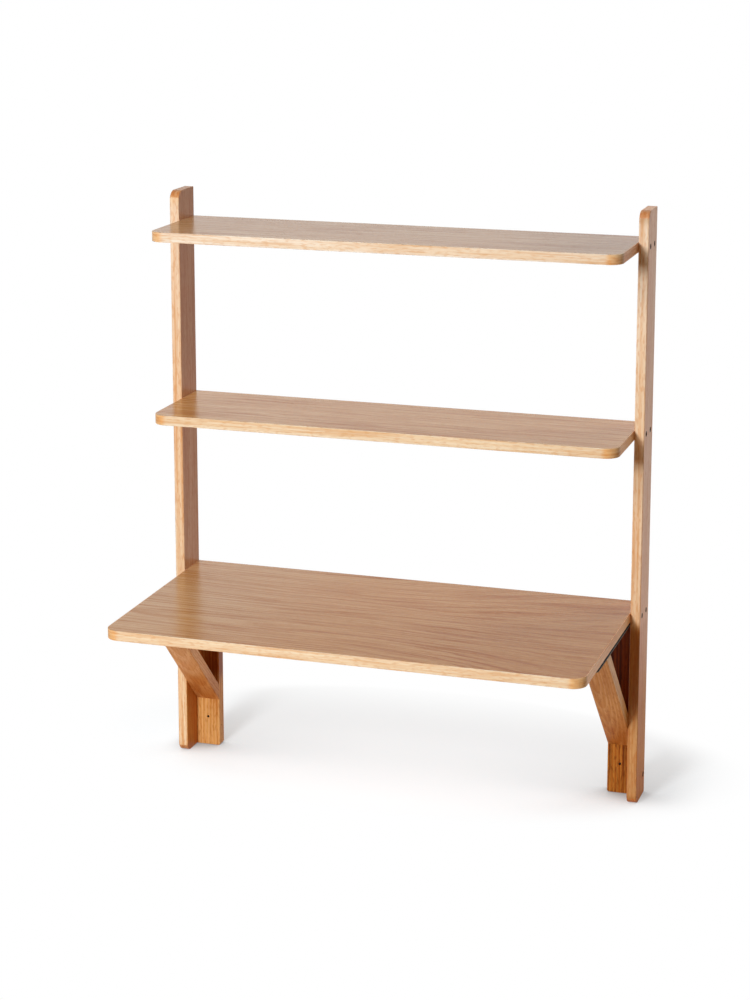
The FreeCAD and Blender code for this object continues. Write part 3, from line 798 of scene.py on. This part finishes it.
def screw_points(head, shank, cone, length):
    """The surface (radius, depth) turned round the depth axis, with the head at depth 0.

    The socket's radius is R cos(30) / cos(a - 30) within each sixth of a turn, which is a hexagon.
    The thread's radius is a core plus a ridge that winds once round for each pitch of depth, and over
    the point it shrinks with what is left of the depth.
    """
    angle = np.linspace(0, 2 * math.pi, ROUND, endpoint=False)
    sixth = angle % (math.pi / 3) - math.pi / 6
    hexagon = shank * math.cos(math.pi / 6) / np.cos(sixth)
    circle = np.ones_like(angle)
    top_radius, top_depth = zip(*[(hexagon * part, cone * level) for part, level in SOCKET],
                                *[(head * part * circle, cone * level) for part, level in RIM],
                                (shank * circle, cone))

    pitch = PITCH * shank
    depth = np.arange(cone * 1.3, length - TIP * shank, pitch / ROWS_IN_A_TURN)
    ridge = 0.5 + 0.5 * np.cos(2 * math.pi * depth[:, None] / pitch - angle)
    thread = 1 - RIDGE * (depth > THREAD_BEGINS * length)[:, None] * (1 - ridge ** SHARPNESS)
    taper = np.minimum(1.0, (length - depth) / (POINT * shank))
    radius = np.concatenate([np.stack(top_radius), shank * taper[:, None] * thread, 0 * circle[None]])
    depth = np.concatenate([top_depth, depth, [length]])[:, None] * circle
    return np.stack([radius * np.cos(angle), radius * np.sin(angle), -depth], axis=-1)


screw = screw_points(**SCREW)
print("screw surface:", " by ".join(str(count) for count in screw.shape[:2]), "points")

# %% Screws through the uprights
OUTER_FACE = 0.450
BOARD_SCREW_DEPTHS = (0.0185, 0.0545)
CLEAT_SCREW_LEVEL, CLEAT_SCREW_DEPTH = -0.019, 0.011
ACROSS = np.array([0.0, 1.0, 0.0])    # a direction square to every screw


def screw_set(name, spots, replaced):
    """Copies of the screw with their heads at given points, each pushed in along a direction.

    A copy's three axes are a direction across it, the one square to both, and the way out of the wood.
    """
    points = screw.reshape(-1, 3)
    faces = grid_faces(*screw.shape[:2])
    all_points = [points @ np.stack([ACROSS, np.cross(-push, ACROSS), -push]) + place
                  for place, push in spots]
    all_faces = [faces + index * len(points) for index in range(len(spots))]
    made = mesh_object(name, np.concatenate(all_points), np.concatenate(all_faces))
    close_shell(made)
    made.data.materials.append(black_oxide)
    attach(made, "root")
    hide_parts(replaced)
    return made


def through_uprights(level, depths):
    """Screws pushed level through both uprights from outside: the place and the push of each."""
    return [(np.array([side * OUTER_FACE, -depth, level]), np.array([-side, 0.0, 0.0]))
            for side in (-1, 1) for depth in depths]


for board, (depth, surface) in BOARDS.items():
    spots = through_uprights(surface - BOARD_THICKNESS / 2, BOARD_SCREW_DEPTHS)
    screw_set(f"{board}_fixing_screws", spots, f"{board}_screws")
cleat_screws = screw_set("cleat_fixing_screws", through_uprights(CLEAT_SCREW_LEVEL, [CLEAT_SCREW_DEPTH]),
                         "cleat_screws")
print(cleat_screws.name, len(cleat_screws.data.polygons), "faces")

# %% Screws inside the brackets
# They are hidden in the wood or under the bars, so they keep their packed form.
for name in ("brace_foot_screws", "bar_rear_screws", "brace_head_screws", "bar_desk_screws"):
    dress(name, black_oxide)
print("all screws finished")


# %% [markdown]
# ## Floor
# The real desk hangs on a wall. Here its feet touch white studio paper, which catches a faint shadow.
# Paper that answered every ray alike would light the shade under the desk a cold white. So its material
# asks what kind of ray meets it. A ray from the camera finds white paper less the shadow, also by way of
# gloss or glass. Light that bounces finds a warm floor that darkens farther out, as if it had come by way
# of the oak. The darker patch where a foot meets the floor is ambient occlusion: how much hides the sky
# near a point.

# %% Floor
FLOOR_LEVEL = cad_box[0].z
REACH = 12.0                          # metres, half of the floor's side
WHITE = (1, 1, 1, 1)
PAPER = (0.575, 0.615, 0.64, 1)
GLOW = 0.532                          # with the paper's own light it comes to white
SHADOW_SHAPE, SHADOW_OFFSET = (1.0, 2.0, 1.0), (0.02, -0.15, -FLOOR_LEVEL)
SHADOW_FADES = (0.48, 0.68)           # out from the middle of its oval
SHADOW_BACK = [("Y", 0.10, 0.46)]
CONTACT_REACH, CONTACT_DARK = 0.34, 0.9
CONTACT = [("Y", -0.10, 0.0), ("Y", 0.34, 0.10), ("X", -0.50, -0.44), ("X", 0.58, 0.48)]
BOUNCE_OFFSET = (0, 0.5, -FLOOR_LEVEL)
BOUNCE_FADES = (0.6, 1.6)
CLOSE_BOUNCE, FAR_BOUNCE = (0.78, 0.53, 0.30, 1), (0.24, 0.13, 0.06, 1)


def seen(wiring):
    """1 for a ray from the camera, also by way of gloss or glass, and 0 for light that bounces."""
    camera, gloss, glass = (wiring.node("ShaderNodeLightPath", output=f"Is {kind} Ray")
                            for kind in ("Camera", "Glossy", "Transmission"))
    return camera.larger(gloss).larger(glass)


def how_far(paint, place, offset, factors=(1, 1, 1)):
    """How far from zero a place is, once it is multiplied by factors and moved by an offset."""
    moved = paint.stretched(place, factors, offset)
    return paint.node("ShaderNodeVectorMath", {"operation": "LENGTH"}, {0: moved}, output="Value")


def floor_finish():
    """White to the camera, less the shadow; a warm floor to the light that bounces."""
    paint = Paint("pale_floor")
    place = paint.place()
    shaded, close, far = (paint.node("ShaderNodeBsdfDiffuse", inputs={"Color": colour})
                          for colour in (PAPER, CLOSE_BOUNCE, FAR_BOUNCE))
    glow, white, dark = (paint.node("ShaderNodeEmission", inputs={"Color": WHITE, "Strength": strength})
                         for strength in (GLOW, 1.0, 0.0))
    lit = paint.node("ShaderNodeAddShader", inputs={0: shaded, 1: glow})
    fade = how_far(paint, place, SHADOW_OFFSET, SHADOW_SHAPE).smooth(*SHADOW_FADES)
    faded = paint.either(fade.larger(paint.zone(place, SHADOW_BACK)), lit, white)
    open_round = paint.node("ShaderNodeAmbientOcclusion", {"samples": 8}, {"Distance": CONTACT_REACH},
                            output="AO")
    covered = (1 - open_round) * CONTACT_DARK * paint.zone(place, CONTACT)
    bounce = paint.either(how_far(paint, place, BOUNCE_OFFSET).smooth(*BOUNCE_FADES), close, far)
    return paint.finish(paint.either(seen(paint), bounce, paint.either(covered, faded, dark)))


corners = [[-REACH, -REACH], [REACH, -REACH], [REACH, REACH], [-REACH, REACH]]
floor = mesh_object("floor", np.array([[x, y, FLOOR_LEVEL] for x, y in corners]), np.array([[0, 1, 2, 3]]))
floor.data.materials.append(floor_finish())
print(f"floor at {FLOOR_LEVEL:.3f} m")


# %% [markdown]
# ## Lamps and room
# Two soft lamps stand in front, a little to the left: the key lamp low, and a weaker one high. A third,
# very weak, stands behind to the right and picks out the far edges. A wide soft light could come from the
# world alone, but then nothing would have a shaded side. The key lamp is left out of gloss, because from
# behind the desk its mirror image would wash the lacquered boards out to white.
#
# The room lights the desk white from behind, and dim and warm from in front, which keeps the shade
# under the desk top deep. The camera, gloss and glass see it plain white.

# %% Lamps
LAMPS = {                             # size, power, distance, degrees left of the front and above, target
    "key": (0.8, 88, 3.76, 9, 20, (0, 0, 0.45)),
    "high": (1.1, 38, 3.6, 12, 41, (0, -0.2, 0.3)),
    "side": (1.6, 14, 3.6, 222, 20, (0, -0.2, 0.3)),
}


def lamp(name, size, power, distance, left, above, target):
    """A round lamp at a distance from its target, by its angles left of the front and above the level.

    The way to it from the target is (-sin left * cos above, -cos left * cos above, sin above).
    """
    left, above = math.radians(left), math.radians(above)
    light = bpy.data.lights.new(name, "AREA")
    light.shape = "DISK"
    light.size = size
    light.energy = power
    made = bpy.data.objects.new(name, light)
    bpy.context.scene.collection.objects.link(made)
    away = np.array([-math.sin(left) * math.cos(above), -math.cos(left) * math.cos(above), math.sin(above)])
    aim(made, tuple(np.array(target) + distance * away), -left, above)
    return made


lamps = {name: lamp(name, *values) for name, values in LAMPS.items()}
lamps["key"].visible_glossy = False
print("lamps:", ", ".join(lamps))

# %% Room
WARM = (1.0, 0.62, 0.32, 1)
BACKDROP, BEHIND, IN_FRONT = (WHITE, 1.0), (WHITE, 1.0), (WARM, 0.05)
REARWARD = (0.0, 0.8)                 # parts of a direction that point to the wall

world = bpy.data.worlds.new("white_room")
bpy.context.scene.world = world
room = Wiring(world)
white, behind, in_front = (room.node("ShaderNodeBackground", inputs={"Color": colour, "Strength": strength})
                           for colour, strength in (BACKDROP, BEHIND, IN_FRONT))
heading = room.node("ShaderNodeTexCoord", output="Generated")
ambient = room.either(room.axis(heading, "Y").smooth(*REARWARD), in_front, behind)
room.node("ShaderNodeOutputWorld", inputs={"Surface": room.either(seen(room), ambient, white)})
bpy.context.scene.view_settings.view_transform = "Standard"
print("lit")


# %% [markdown]
# ## Sizes
# A finish must not change how much room the desk takes. A ruler on the render couldn't tell a millimetre;
# the box round the packed model is printed where the model is loaded.
